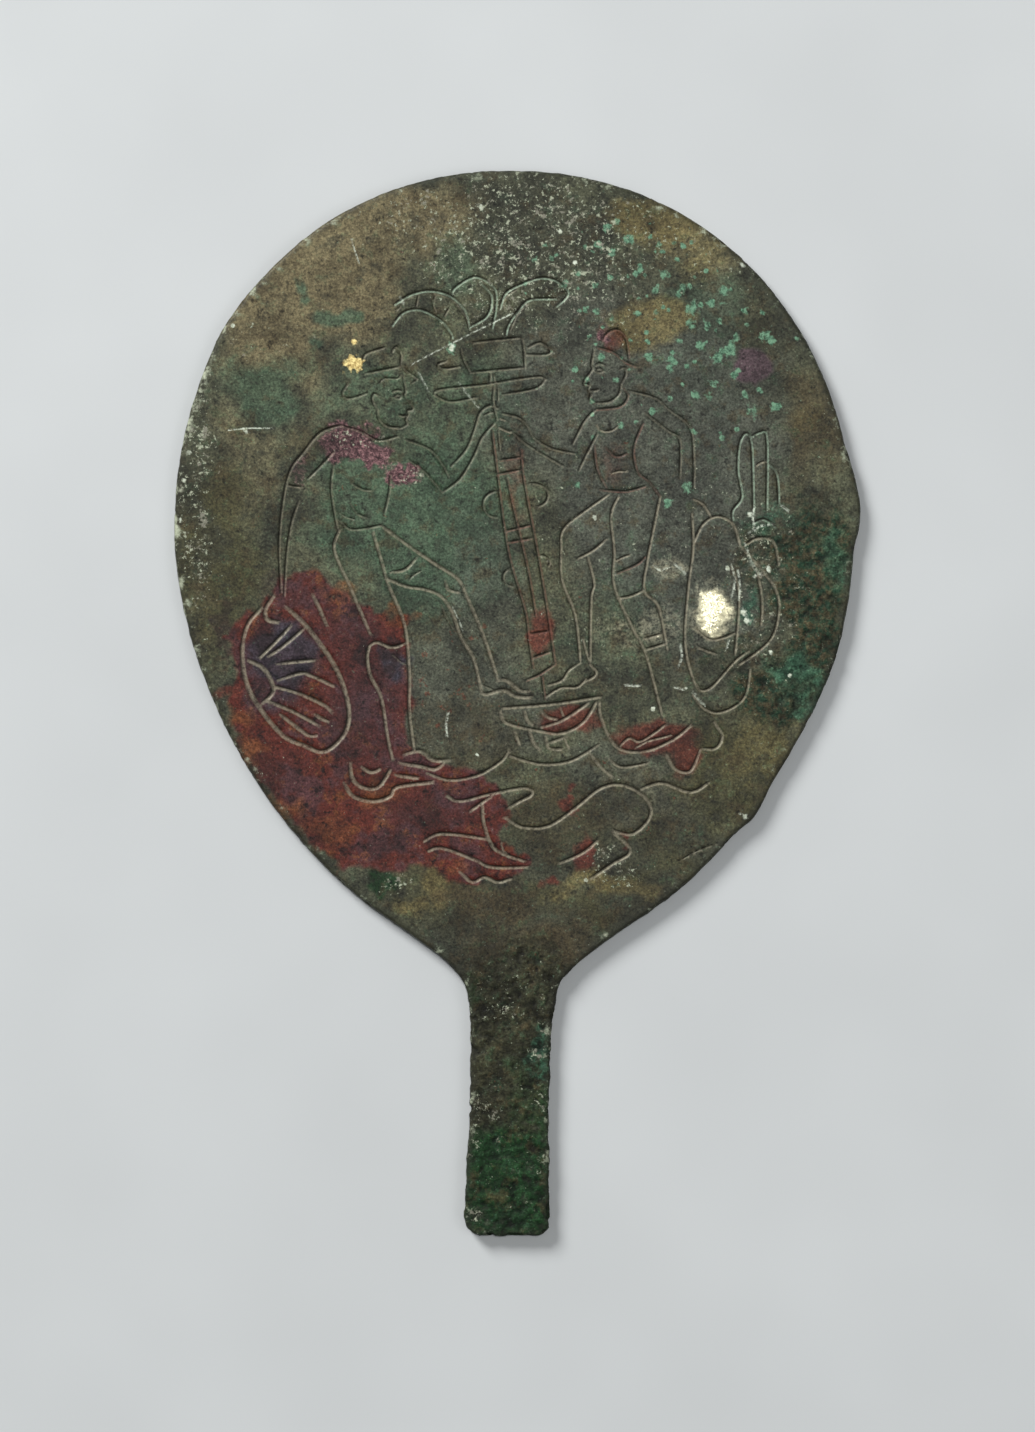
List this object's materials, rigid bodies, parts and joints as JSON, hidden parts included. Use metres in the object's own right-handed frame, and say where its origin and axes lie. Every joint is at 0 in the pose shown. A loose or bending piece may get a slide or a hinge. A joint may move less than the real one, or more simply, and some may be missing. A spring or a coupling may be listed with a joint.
{
  "type": "hand mirror",
  "caption": "Ancient cast bronze hand mirror: an egg-shaped disc engraved with a figure scene, running into a flat waisted handle, bowed back down.",
  "frame": {"origin": "on the underside below the centre of the disc, where the widest line crosses the centre line, on the flat spot that the mirror rests on", "axes": "+Y from the disc's centre to the crown, so the handle runs along -Y; +Z out of the engraved face; +X to the right of the engraving"},
  "size_m": [0.148, 0.2301, 0.0036],
  "materials": {
    "patinated_bronze": "cast bronze under a dark green-brown patina with a red cuprite patch, green crust, fine grain and a low satin sheen"
  },
  "bodies": {
    "root": {"mirror": "patinated_bronze"}
  },
  "joints": []
}
